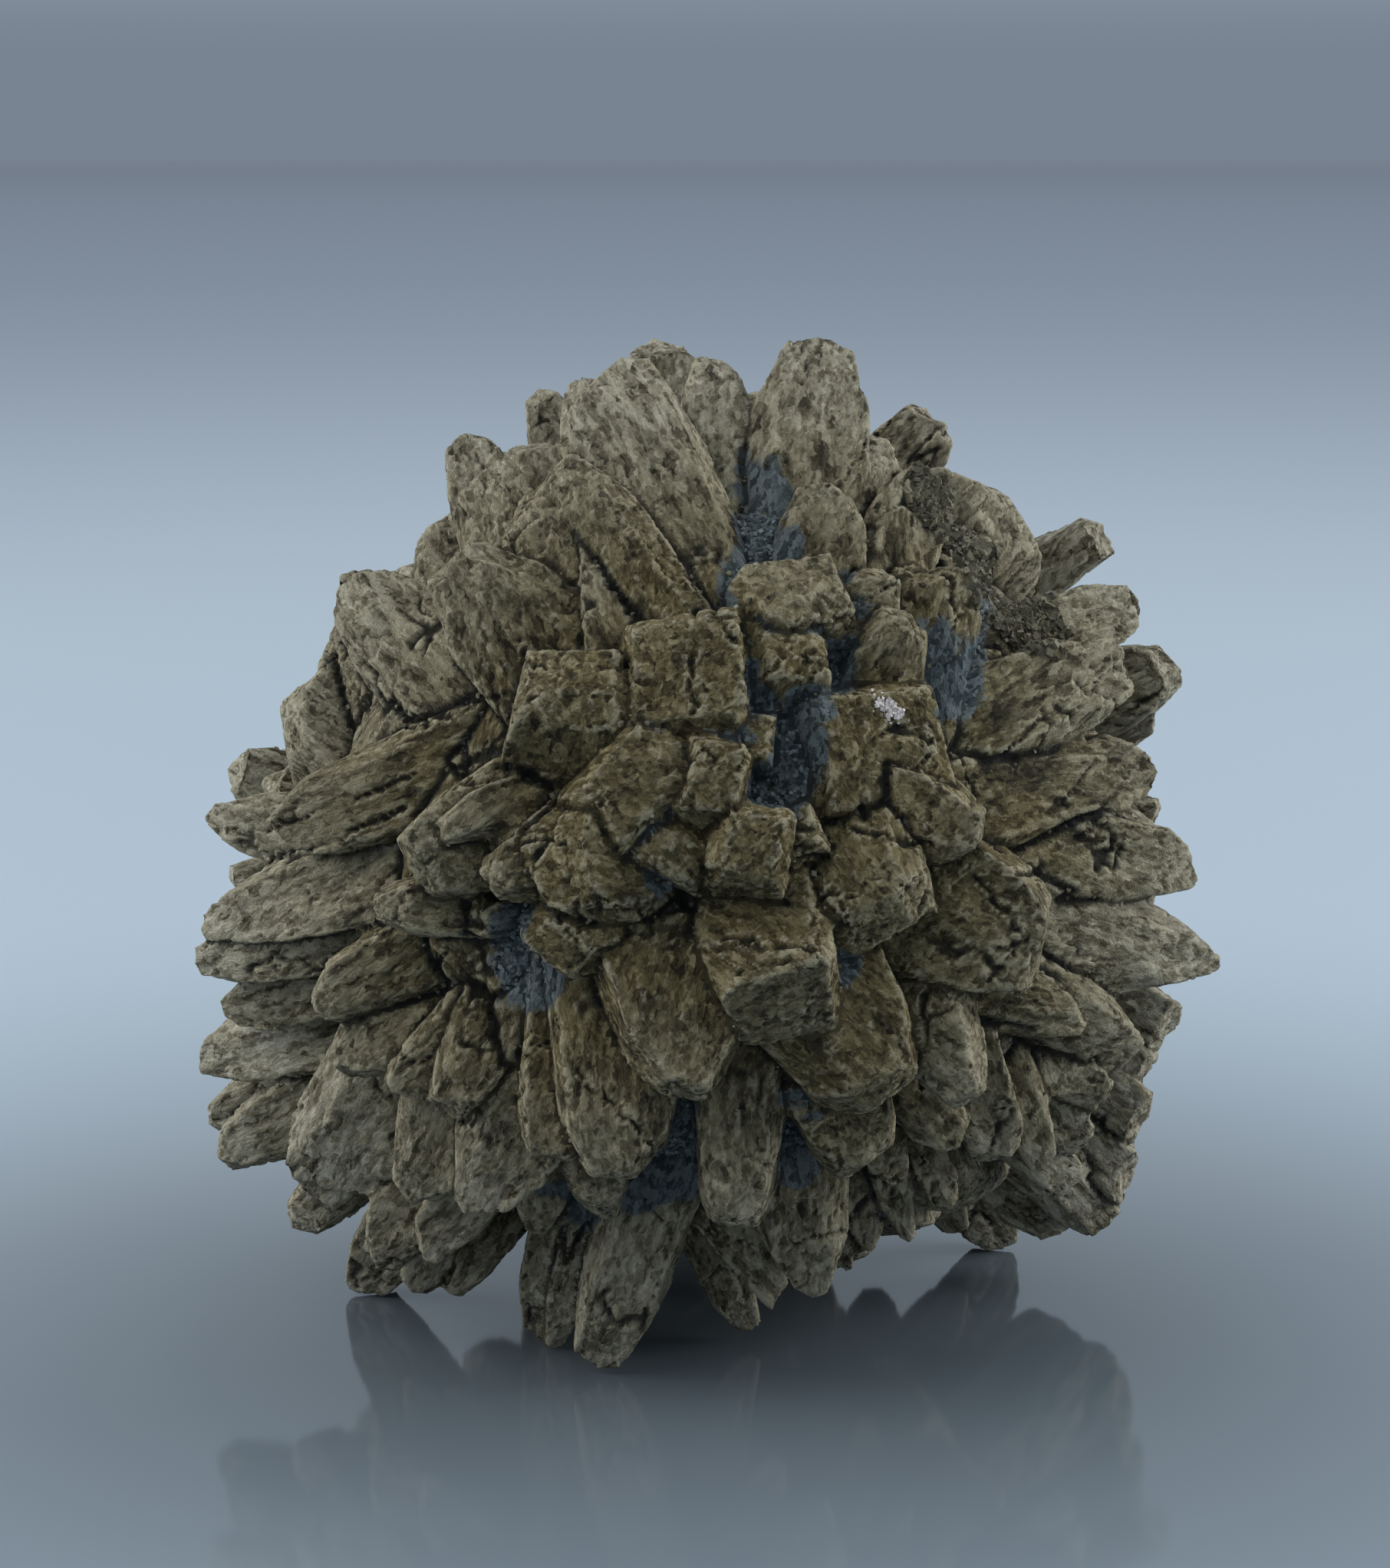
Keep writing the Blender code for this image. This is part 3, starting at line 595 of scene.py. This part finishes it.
def closed_part(name, triangles):
    """A new object with these triangles of the skin, closed towards the ball's middle."""
    used, renumbered = np.unique(triangles, return_inverse=True)
    local = renumbered.reshape(-1, 3)
    ends = np.concatenate([local[:, [0, 1]], local[:, [1, 2]], local[:, [2, 0]]])
    code = ends[:, 0].astype(np.int64) * len(used) + ends[:, 1]
    back = ends[:, 1].astype(np.int64) * len(used) + ends[:, 0]
    rim = ends[~np.isin(code, back)]
    inner = np.column_stack([rim[:, 1], rim[:, 0], np.full(len(rim), len(used))])
    faces = np.concatenate([local, inner])
    places = np.vstack([worn_place[used] * MM + np.array(MIDDLE), np.array(MIDDLE)])
    mesh = bpy.data.meshes.new(name)
    mesh.from_pydata(places.tolist(), [], faces.tolist())
    for layer in skin.data.attributes:
        kept = layer.domain == "POINT" and layer.data_type in ("FLOAT", "FLOAT_VECTOR")
        if not kept or layer.name == "position":
            continue
        wide = 3 if layer.data_type == "FLOAT_VECTOR" else 1
        values = np.empty(len(worn_place) * wide, np.float32)
        layer.data.foreach_get("vector" if wide == 3 else "value", values)
        values = values.reshape(-1, wide)[used]
        keep(mesh, layer.name, layer.data_type, np.vstack([values, values[:1]]))
    mesh.polygons.foreach_set("use_smooth", np.arange(len(faces)) < len(local))
    mesh.update()
    piece = bpy.data.objects.new(name, mesh)
    bpy.context.scene.collection.objects.link(piece)
    return piece


triangles = triangles_of(skin.data)
crystal_of_triangle = point_crystal[triangles[:, 0]]
part = part_of_each_crystal(triangles, crystal_of_triangle)
parts = []
for number in range(PARTS):
    mine = triangles[part[crystal_of_triangle] == number]
    parts.append(closed_part(f"crystals_part_{number + 1}", mine))
    print(parts[-1].name, len(parts[-1].data.polygons), "triangles")
bpy.data.objects.remove(skin)


# %% [markdown]
# ## Grains in the clefts
#
# Up close the filling is not a skin but loose sugar: thousands of tiny rhombs, the shape in which calcite
# splits. One rhomb is modelled from a cube whose corners are pushed along one diagonal. Its copies are
# then strewn over the filling, each with its own size and turn. They are so many that each has only
# twelve triangles.

# %% One rhomb
def one_rhomb():
    """A small leaning block of calcite, 1 mm wide."""
    bpy.ops.object.select_all(action="DESELECT")
    bpy.ops.mesh.primitive_cube_add(size=1.0)
    made = bpy.context.object
    made.name = "one_grain"
    bpy.ops.object.mode_set(mode="EDIT")
    bpy.ops.mesh.select_all(action="SELECT")
    bpy.ops.mesh.quads_convert_to_tris()
    bpy.ops.object.mode_set(mode="OBJECT")
    corners = point_array(made.data, "co")
    diagonal = corners.sum(1, keepdims=True) / 3.0
    corners = corners - 0.27 * diagonal
    faces = np.array([face.vertices for face in made.data.polygons])
    bpy.data.objects.remove(made)
    return corners, faces


rhomb_corners, rhomb_faces = one_rhomb()
print("one rhomb:", len(rhomb_corners), "corners,", len(rhomb_faces), "triangles")


# %% Where the grains lie
def strew(name, weights, count, sizes, lift, salt):
    """One piece of many rhombs, strewn over the skin's triangles by weight."""
    dice = np.random.default_rng(salt)
    picked = dice.choice(len(triangles), count, p=weights / weights.sum())
    share = dice.dirichlet((1.0, 1.0, 1.0), count)
    spots = np.einsum("nij,ni->nj", worn_place[triangles[picked]], share)
    sides = worn_place[triangles[picked]]
    out = np.cross(sides[:, 1] - sides[:, 0], sides[:, 2] - sides[:, 0])
    out /= np.linalg.norm(out, axis=1, keepdims=True) + 1e-9
    size = dice.uniform(*sizes, (count, 1))
    turns, _ = np.linalg.qr(dice.normal(size=(count, 3, 3)))
    turns *= np.sign(np.linalg.det(turns))[:, None, None]
    centres = spots + out * size * lift
    centres[:, 2] = np.maximum(centres[:, 2], FLOOR_LEVEL + size[:, 0])
    corners = np.einsum("nij,kj->nki", turns, rhomb_corners) * size[:, None, :] + centres[:, None, :]
    faces = rhomb_faces[None] + (np.arange(count) * len(rhomb_corners))[:, None, None]
    mesh = bpy.data.meshes.new(name)
    places = corners.reshape(-1, 3) * MM + np.array(MIDDLE)
    mesh.from_pydata(places.tolist(), [], faces.reshape(-1, 3).tolist())
    keep(mesh, "tint_and_painted_light", "FLOAT", np.repeat(dice.random(count), len(rhomb_corners)))
    keep(mesh, "filling", "FLOAT", np.repeat(filling[triangles[picked, 0]], len(rhomb_corners)))
    mesh.update()
    piece = bpy.data.objects.new(name, mesh)
    bpy.context.scene.collection.objects.link(piece)
    print(name, len(mesh.polygons), "triangles")
    return piece


GRAINS = 12000
size_of_triangle = np.linalg.norm(
    np.cross(
        worn_place[triangles[:, 1]] - worn_place[triangles[:, 0]],
        worn_place[triangles[:, 2]] - worn_place[triangles[:, 0]],
    ),
    axis=1,
)
on_filling = size_of_triangle * (filling[triangles[:, 0]] > 0.5)
near_gap = size_of_triangle * (filling[triangles[:, 0]] < 0.5) * np.exp(-gap_distance[triangles[:, 0]] / 0.5)
grains = strew("sugar_grains", on_filling + 0.07 * near_gap, GRAINS // 2, (0.26, 0.58), 0.0, 81)
bank_edge = 0.2 * soft_noise(worn_place[triangles[:, 0]], 2.5, 93)
bank_here = size_of_triangle * ramp(sugar_bank[triangles[:, 0]] + bank_edge, 0.35, 0.8)
bank = strew("sugar_bank", bank_here, GRAINS // 2, (0.30, 0.95), 0.1, 82)
crust_at = np.hypot((right - 21.4) / 1.3, (rise - 17.5 + 0.6 * (right - 21.4)) / 0.75)[triangles[:, 0]]
crust_here = size_of_triangle * (toward[triangles[:, 0]] > 10.0) * np.exp(-(crust_at**2))
crust = strew("white_crust", crust_here, GRAINS // 110, (0.15, 0.42), 0.15, 83)


# %% [markdown]
# ## The stone's finish
#
# Nothing on this stone has one flat colour. Brown iron stains run in streaks along each crystal, pale
# cream shows where edges are rubbed, a painted shade darkens the gaps, cracks, pits and grooves, and a
# speckle of grains under half a millimetre covers all of it. Crystals that face the front are painted
# darker and those round the rim paler, a painted shade and a painted rim light. The streaks and the
# speckle are one node group, because the crystals and the grains both wear them.

# %% Helpers for nodes
def put(tree, kind, inputs=None, **settings):
    """Adds a node, then fills or links its inputs."""
    made = tree.nodes.new("ShaderNode" + kind)
    for name, value in settings.items():
        setattr(made, name, value)
    for key, value in (inputs or {}).items():
        if isinstance(value, bpy.types.NodeSocket):
            tree.links.new(value, made.inputs[key])
        else:
            made.inputs[key].default_value = value
    return made


def math_of(tree, operation, first, second=0.0):
    """One sum of two values."""
    return put(tree, "Math", {0: first, 1: second}, operation=operation).outputs[0]


def between(tree, value, low, high, start=0.0, end=1.0):
    """A soft step from start to end as the value goes from low to high."""
    inputs = {0: value, 1: low, 2: high, 3: start, 4: end}
    return put(tree, "MapRange", inputs, interpolation_type="SMOOTHSTEP").outputs[0]


def paint(tree, mask, under, over):
    """One colour laid over another by a mask."""
    return put(tree, "Mix", {0: mask, 6: under, 7: over}, data_type="RGBA").outputs[2]


def noise(tree, where, scale, detail, rough):
    """A noise texture: its value and its colour."""
    inputs = {"Vector": where, "Scale": scale, "Detail": detail, "Roughness": rough}
    return put(tree, "TexNoise", inputs).outputs


def blend_of(tree, *values_and_shares):
    """A sum of values, each times its share."""
    total = 0.0
    for value, share in values_and_shares:
        total = math_of(tree, "ADD", total, math_of(tree, "MULTIPLY", value, share))
    return total


def rgb(red, green, blue):
    return (red, green, blue, 1.0)


# %% The node group for flecks and streaks
def build_flecks():
    """What varies over stone, read from a place in mm: its tone, its fine grains, and a height."""
    tree = bpy.data.node_groups.new("flecks and streaks", "ShaderNodeTree")
    tree.interface.new_socket("Place", in_out="INPUT", socket_type="NodeSocketVector")
    for name in ("Tone", "Grain", "Height"):
        tree.interface.new_socket(name, in_out="OUTPUT", socket_type="NodeSocketFloat")
    place_in = tree.nodes.new("NodeGroupInput").outputs["Place"]
    bend = noise(tree, place_in, 0.9, 3.0, 0.50)["Color"]
    bend = put(tree, "VectorMath", {0: bend, 1: (0.5, 0.5, 0.5)}, operation="SUBTRACT").outputs[0]
    bend = put(tree, "VectorMath", {0: bend, "Scale": 1.1}, operation="SCALE").outputs[0]
    bent = put(tree, "VectorMath", {0: bend, 1: place_in}, operation="ADD").outputs[0]
    long_place = put(tree, "Mapping", {"Vector": bent, "Scale": (1.0, 1.0, 0.36)}).outputs[0]
    streak_place = put(tree, "Mapping", {"Vector": bent, "Scale": (1.0, 1.0, 0.14)}).outputs[0]
    line_place = put(tree, "Mapping", {"Vector": bent, "Scale": (1.0, 1.0, 0.09)}).outputs[0]
    broad = put(tree, "TexVoronoi", {"Vector": long_place, "Scale": 0.95})
    small = put(tree, "TexVoronoi", {"Vector": long_place, "Scale": 2.2})
    broad_value = put(tree, "SeparateColor", {0: broad.outputs["Color"]}).outputs[0]
    small_value = put(tree, "SeparateColor", {0: small.outputs["Color"]}).outputs[0]
    streak = noise(tree, streak_place, 1.1, 4.0, 0.65)[0]
    lines = noise(tree, line_place, 2.4, 3.0, 0.70)[0]
    patch = noise(tree, place_in, 0.16, 5.0, 0.62)[0]
    fine = noise(tree, place_in, 2.6, 4.0, 0.70)[0]
    tone = math_of(tree, "MULTIPLY", broad_value, 0.24)
    for value, share in ((small_value, 0.20), (streak, 0.42), (lines, 0.52), (patch, 0.40), (fine, 0.18)):
        tone = math_of(tree, "ADD", tone, math_of(tree, "MULTIPLY", value, share))
    for value, depth in ((broad_value, 0.045), (small_value, 0.045)):
        tone = math_of(tree, "SUBTRACT", tone, between(tree, value, 0.10, 0.21, depth, 0.0))
    tone = math_of(tree, "SUBTRACT", tone, 0.480)
    grain = blend_of(tree, (small_value, 0.5), (fine, 0.5))
    height = blend_of(tree, (small_value, 0.5), (fine, 0.8), (lines, 1.1))
    out = tree.nodes.new("NodeGroupOutput")
    for name, socket in (("Tone", tone), ("Grain", grain), ("Height", height)):
        tree.links.new(socket, out.inputs[name])
    return tree


flecks_group = build_flecks()
print("node group:", flecks_group.name)


# %% The weathered crystals
def attribute(tree, name):
    """A named attribute of the piece: its number and its vector."""
    made = put(tree, "Attribute", attribute_name=name)
    return made.outputs["Fac"], made.outputs["Vector"]


def new_material(name):
    """An empty material with one shader in it."""
    material = bpy.data.materials.new(name)
    material.use_nodes = True
    return material, material.node_tree, material.node_tree.nodes["Principled BSDF"]


def shades(tree, value, stops):
    """A colour ramp from a value."""
    made = put(tree, "ValToRGB", {0: value})
    ramp_of = made.color_ramp
    for position, colour in stops[2:]:
        ramp_of.elements.new(position)
    for element, (position, colour) in zip(ramp_of.elements, stops):
        element.position = position
        element.color = colour
    return made.outputs[0]


def finish_crystals():
    material, tree, shader = new_material("weathered calcite")
    flecks = put(tree, "Group", node_tree=flecks_group)
    tree.links.new(attribute(tree, "own_place")[1], flecks.inputs["Place"])
    tone, grain, height = (flecks.outputs[name] for name in ("Tone", "Grain", "Height"))
    tint_and_painted_light, hollow = attribute(tree, "tint_and_painted_light")[0], attribute(tree, "hollow")[0]
    wear, in_cleft = attribute(tree, "wear")[0], attribute(tree, "filling")[0]
    # Dark ramp: darker crystals and the painted shade of crystals that face the front. Pale ramp: paler
    # crystals and the painted rim light round the rim.
    darker_tone_and_painted_shade = [
        (0.22, rgb(0.021, 0.015, 0.007)),
        (0.42, rgb(0.082, 0.063, 0.027)),
        (0.60, rgb(0.182, 0.145, 0.069)),
        (0.82, rgb(0.370, 0.315, 0.182)),
    ]
    paler_tone_and_painted_rim_light = [
        (0.20, rgb(0.052, 0.043, 0.027)),
        (0.40, rgb(0.208, 0.181, 0.122)),
        (0.60, rgb(0.418, 0.380, 0.284)),
        (0.82, rgb(0.620, 0.580, 0.465)),
    ]
    body = paint(tree, tint_and_painted_light, shades(tree, tone, darker_tone_and_painted_shade), shades(tree, tone, paler_tone_and_painted_rim_light))
    rubbed = between(tree, grain, 0.25, 0.60, 0.25, 0.75)
    rubbed = math_of(tree, "MULTIPLY", between(tree, wear, 0.03, 0.17), rubbed)
    body = paint(tree, rubbed, body, rgb(0.420, 0.375, 0.255))
    # Painted shade: hollow spots are painted near black.
    body = paint(tree, between(tree, hollow, 0.14, 0.66, 0.0, 0.90), body, rgb(0.010, 0.010, 0.009))
    sugar = paint(tree, between(tree, grain, 0.25, 0.75), rgb(0.032, 0.042, 0.046), rgb(0.148, 0.170, 0.172))
    cover = blend_of(tree, (in_cleft, 0.8), (grain, 0.6))
    colour = paint(tree, between(tree, cover, 0.55, 0.95), body, sugar)
    tree.links.new(colour, shader.inputs["Base Color"])
    tree.links.new(between(tree, grain, 0.25, 0.75, 0.90, 0.64), shader.inputs["Roughness"])
    bump = put(tree, "Bump", {"Strength": 0.9, "Distance": 0.00040, "Height": height})
    tree.links.new(bump.outputs[0], shader.inputs["Normal"])
    shader.inputs["Specular IOR Level"].default_value = 0.30
    return material


def finish_grains():
    material, tree, shader = new_material("calcite sugar")
    tint_and_painted_light, in_cleft = attribute(tree, "tint_and_painted_light")[0], attribute(tree, "filling")[0]
    blue = paint(tree, tint_and_painted_light, rgb(0.035, 0.047, 0.051), rgb(0.200, 0.230, 0.233))
    brown = paint(tree, tint_and_painted_light, rgb(0.030, 0.024, 0.014), rgb(0.200, 0.175, 0.115))
    tree.links.new(paint(tree, in_cleft, brown, blue), shader.inputs["Base Color"])
    tree.links.new(between(tree, tint_and_painted_light, 0.0, 1.0, 0.75, 0.40), shader.inputs["Roughness"])
    return material


def finish_crust():
    material, tree, shader = new_material("white crust")
    tint_and_painted_light = attribute(tree, "tint_and_painted_light")[0]
    white = paint(tree, tint_and_painted_light, rgb(0.52, 0.46, 0.43), rgb(0.84, 0.78, 0.75))
    tree.links.new(white, shader.inputs["Base Color"])
    tree.links.new(between(tree, tint_and_painted_light, 0.0, 1.0, 0.60, 0.30), shader.inputs["Roughness"])
    return material


def dress(piece, material):
    """Gives a piece its finish and ties it to the frame."""
    piece.data.materials.append(material)
    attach(piece, "root")


crystal_finish = finish_crystals()
for piece in parts:
    dress(piece, crystal_finish)
    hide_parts("crystal_ball")
grain_finish = finish_grains()
dress(grains, grain_finish)
dress(bank, grain_finish)
dress(crust, finish_crust())

# %% [markdown]
# ## Floor, light and camera
#
# The ball rests on a pale, slightly glossy floor. The floor runs so far back that its far end is the
# backdrop, and its colour changes only with the distance from the ball: it is painted dark near the
# ball, a painted shade round the ball, and fades dark again far off, a painted dimming of the light.
# The light is that of three soft boxes, one at the top left and one on each side, under a pale sky that
# grows brighter above the horizon.

# %% The floor
def lay_floor():
    bpy.ops.object.select_all(action="DESELECT")
    bpy.ops.mesh.primitive_circle_add(vertices=96, radius=40.0, fill_type="NGON", location=(0.0, 0.0, 0.0))
    floor = bpy.context.object
    floor.name = "floor"
    material, tree, shader = new_material("pale floor")
    away = put(tree, "TexCoord").outputs["Object"]
    away = put(tree, "VectorMath", {0: away}, operation="LENGTH").outputs["Value"]
    # Painted shade: the floor is painted dark near the ball, brightening out to about a quarter metre, and it
    # is painted dark again far off, a painted dimming of the light towards the horizon.
    colour = paint(tree, between(tree, away, -0.02, 0.24), rgb(0.076, 0.092, 0.104), rgb(0.372, 0.447, 0.513))
    colour = paint(tree, between(tree, away, 1.5, 22.0), colour, rgb(0.03, 0.035, 0.04))
    tree.links.new(colour, shader.inputs["Base Color"])
    shader.inputs["Roughness"].default_value = 0.08
    shader.inputs["Specular IOR Level"].default_value = 0.50
    floor.data.materials.append(material)
    return floor


lay_floor()


# %% The light
def soft_box(name, place, aim, width, height, watts, colour):
    lamp = bpy.data.lights.new(name, "AREA")
    lamp.shape = "RECTANGLE"
    lamp.size, lamp.size_y = width, height
    lamp.energy = watts
    lamp.color = colour
    piece = bpy.data.objects.new(name, lamp)
    piece.location = place
    piece.rotation_euler = (Vector(aim) - Vector(place)).to_track_quat("-Z", "Y").to_euler()
    piece.visible_glossy = False
    bpy.context.scene.collection.objects.link(piece)


world = bpy.data.worlds.new("soft studio")
world.use_nodes = True
sky = world.node_tree
upward = put(sky, "SeparateXYZ", {0: put(sky, "TexCoord").outputs["Generated"]}).outputs["Z"]
glow = paint(sky, between(sky, upward, 0.022, 0.125), rgb(0.190, 0.229, 0.290), rgb(0.56, 0.66, 0.765))
glow = paint(sky, between(sky, upward, 0.26, 0.40), glow, rgb(0.16, 0.19, 0.22))
glow = paint(sky, between(sky, upward, 0.50, 0.75), glow, rgb(0.50, 0.57, 0.63))
sky.links.new(glow, sky.nodes["Background"].inputs["Color"])
bpy.context.scene.world = world
soft_box("top left", (-0.45, -0.30, 0.60), MIDDLE, 0.50, 0.50, 1.8, (1.0, 0.99, 0.97))
soft_box("left", (-0.80, 0.15, 0.30), MIDDLE, 0.60, 0.50, 4.6, (0.96, 0.98, 1.0))
soft_box("right", (0.80, 0.10, 0.34), MIDDLE, 0.60, 0.50, 6.6, (0.96, 0.98, 1.0))

# %% The camera
PIXELS_PER_MM = 11.2
PICTURE_HIGH = 2044
camera = bpy.data.cameras.new("camera")
camera.sensor_width = 36.0
camera.lens = PIXELS_PER_MM * EYE_DISTANCE / MM / PICTURE_HIGH * camera.sensor_width
camera.clip_start = 0.01
camera.clip_end = 100.0
eye = bpy.data.objects.new("camera", camera)
bpy.context.scene.collection.objects.link(eye)
aim = MIDDLE + Vector((-16.0, 0.0, 0.0)) / PIXELS_PER_MM * MM + up * (85.0 / PIXELS_PER_MM) * MM
eye.location = aim - looking * EYE_DISTANCE
eye.rotation_euler = looking.to_track_quat("-Z", "Y").to_euler()
bpy.context.scene.camera = eye
bpy.context.scene.view_settings.view_transform = "Standard"
print("lens", round(camera.lens, 2), "mm")
